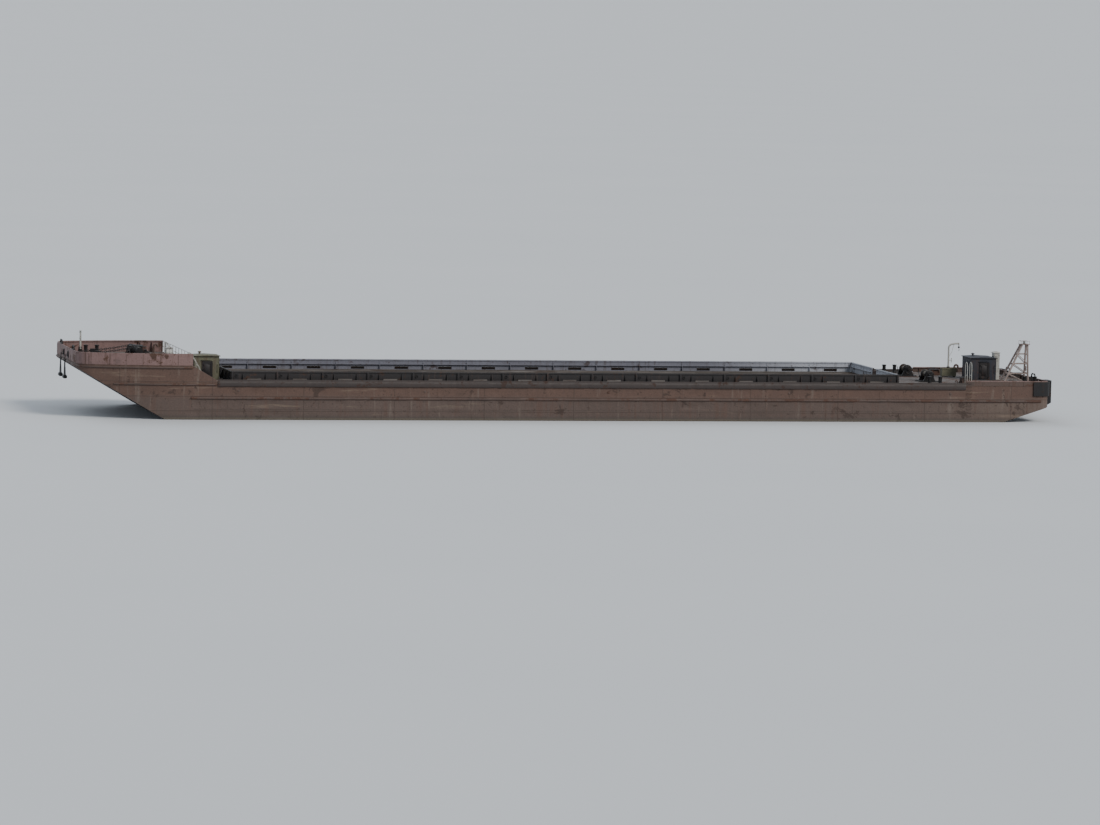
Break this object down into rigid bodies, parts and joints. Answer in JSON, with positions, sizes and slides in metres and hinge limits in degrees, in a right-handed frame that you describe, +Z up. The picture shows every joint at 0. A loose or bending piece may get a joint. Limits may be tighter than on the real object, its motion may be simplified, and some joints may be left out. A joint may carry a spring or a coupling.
{
  "type": "river deck barge, 1:10 scale model",
  "caption": "Flat-decked steel river barge, empty, with low cargo walls, raked ends, windlass, winches, hatches, booths and folding mast; 1:10 model of an 85 m craft.",
  "frame": {"origin": "centre of the footprint, at the underside of the flat bottom", "axes": "+X towards the stern along the length, +Y to starboard, +Z up"},
  "size_m": [8.59, 1.654, 0.7393],
  "materials": {
    "hull_rust": "rusted plating, worn paint",
    "edge_rust": "rusted edge steel",
    "deck_steel": "worn deck plate",
    "wall_steel": "dark stained plate",
    "bow_paint": "faded red paint",
    "gear_black": "dark deck gear",
    "mast_grey": "weathered light grey paint",
    "booth_grey": "weathered olive grey paint",
    "booth_navy": "weathered dark blue-grey paint",
    "planking": "scoured cargo deck"
  },
  "bodies": {
    "barge": {"hull": "hull_rust", "deck": "deck_steel", "forecastle_deck": "deck_steel", "gunwale_port": "edge_rust", "gunwale_starboard": "edge_rust", "fender_port": "edge_rust", "fender_starboard": "edge_rust", "cargo_wall_port": "wall_steel", "cargo_wall_starboard": "wall_steel", "cargo_wall_fore": "wall_steel", "cargo_wall_aft": "wall_steel", "cargo_deck": "planking", "bulwark_bow_front": "bow_paint", "bulwark_bow_port": "bow_paint", "bulwark_bow_starboard": "bow_paint", "bulwark_stern_front": "edge_rust", "bulwark_stern_port": "edge_rust", "bulwark_stern_starboard": "edge_rust", "bollard_bow_port": "gear_black", "bollard_bow_starboard": "gear_black", "bollard_aft_port": "gear_black", "bollard_aft_starboard": "gear_black", "bollard_stern_port": "gear_black", "bollard_stern_starboard": "gear_black", "hatch_coaming_bow_port": "edge_rust", "hatch_coaming_bow_starboard": "edge_rust", "hatch_coaming_stern_port": "edge_rust", "hatch_coaming_stern_starboard": "edge_rust", "windlass_frame": "gear_black", "winch_frame_port": "gear_black", "winch_frame_starboard": "gear_black", "anchor_port": "gear_black", "anchor_chain_port": "gear_black", "anchor_starboard": "gear_black", "anchor_chain_starboard": "gear_black", "bow_booth_shell": "booth_grey", "stern_booth_shell": "booth_navy", "bow_mast_foot": "gear_black", "stern_mast": "mast_grey", "davit_socket": "gear_black", "vent_bow_starboard": "edge_rust", "vent_stern_starboard": "edge_rust", "push_stop_port": "gear_black", "skeg_port": "hull_rust", "push_stop_starboard": "gear_black", "skeg_starboard": "hull_rust", "bow_lamp_post": "mast_grey"},
    "hatch_lid_bow_port": {"hatch_lid_bow_port": "wall_steel"},
    "hatch_lid_bow_starboard": {"hatch_lid_bow_starboard": "wall_steel"},
    "hatch_lid_stern_port": {"hatch_lid_stern_port": "wall_steel"},
    "hatch_lid_stern_starboard": {"hatch_lid_stern_starboard": "wall_steel"},
    "gate_fore": {"gate_fore": "edge_rust"},
    "gate_aft": {"gate_aft": "edge_rust"},
    "windlass_shaft": {"windlass_shaft": "gear_black"},
    "winch_drum_port": {"winch_drum_port": "gear_black"},
    "winch_drum_starboard": {"winch_drum_starboard": "gear_black"},
    "bow_booth_door": {"bow_booth_door": "wall_steel"},
    "stern_booth_door": {"stern_booth_door": "wall_steel"},
    "bow_mast": {"bow_mast": "mast_grey"},
    "davit": {"davit": "mast_grey"}
  },
  "joints": [
    {"name": "hatch_hinge_bow_port", "type": "hinge", "parent": "barge", "child": "hatch_lid_bow_port", "pos_m": [-3.61, -0.47, 0.5483], "axis": [-1, 0, 0], "range_deg": [0, 105]},
    {"name": "hatch_hinge_bow_starboard", "type": "hinge", "parent": "barge", "child": "hatch_lid_bow_starboard", "pos_m": [-3.61, 0.47, 0.5483], "axis": [1, 0, 0], "range_deg": [0, 105]},
    {"name": "hatch_hinge_stern_port", "type": "hinge", "parent": "barge", "child": "hatch_lid_stern_port", "pos_m": [3.59, -0.42, 0.4083], "axis": [-1, 0, 0], "range_deg": [0, 105]},
    {"name": "hatch_hinge_stern_starboard", "type": "hinge", "parent": "barge", "child": "hatch_lid_stern_starboard", "pos_m": [3.59, 0.42, 0.4083], "axis": [1, 0, 0], "range_deg": [0, 105]},
    {"name": "gate_hinge_fore", "type": "hinge", "parent": "barge", "child": "gate_fore", "pos_m": [-2.968, 0.057, 0.41], "axis": [0, 0, -1], "range_deg": [0, 110]},
    {"name": "gate_hinge_aft", "type": "hinge", "parent": "barge", "child": "gate_aft", "pos_m": [2.918, 0.057, 0.41], "axis": [0, 0, 1], "range_deg": [0, 110]},
    {"name": "windlass_turn", "type": "hinge", "parent": "barge", "child": "windlass_shaft", "pos_m": [-3.66, 0, 0.5753], "axis": [0, 1, 0], "continuous": true},
    {"name": "winch_turn_port", "type": "hinge", "parent": "barge", "child": "winch_drum_port", "pos_m": [3.28, -0.33, 0.4223], "axis": [0, 1, 0], "continuous": true},
    {"name": "winch_turn_starboard", "type": "hinge", "parent": "barge", "child": "winch_drum_starboard", "pos_m": [3.28, 0.33, 0.4223], "axis": [0, 1, 0], "continuous": true},
    {"name": "bow_booth_door_hinge", "type": "hinge", "parent": "barge", "child": "bow_booth_door", "pos_m": [-3.069, -0.462, 0.43], "axis": [0, 0, 1], "range_deg": [0, 110]},
    {"name": "stern_booth_door_hinge", "type": "hinge", "parent": "barge", "child": "stern_booth_door", "pos_m": [3.916, -0.107, 0.43], "axis": [0, 0, 1], "range_deg": [0, 110]},
    {"name": "bow_mast_fold", "type": "hinge", "parent": "barge", "child": "bow_mast", "pos_m": [-4.13, 0, 0.5853], "axis": [0, 1, 0], "range_deg": [0, 86]},
    {"name": "davit_slew", "type": "hinge", "parent": "barge", "child": "davit", "pos_m": [3.81, 0.768, 0.45], "axis": [0, 0, 1], "range_deg": [-20, 100]}
  ]
}
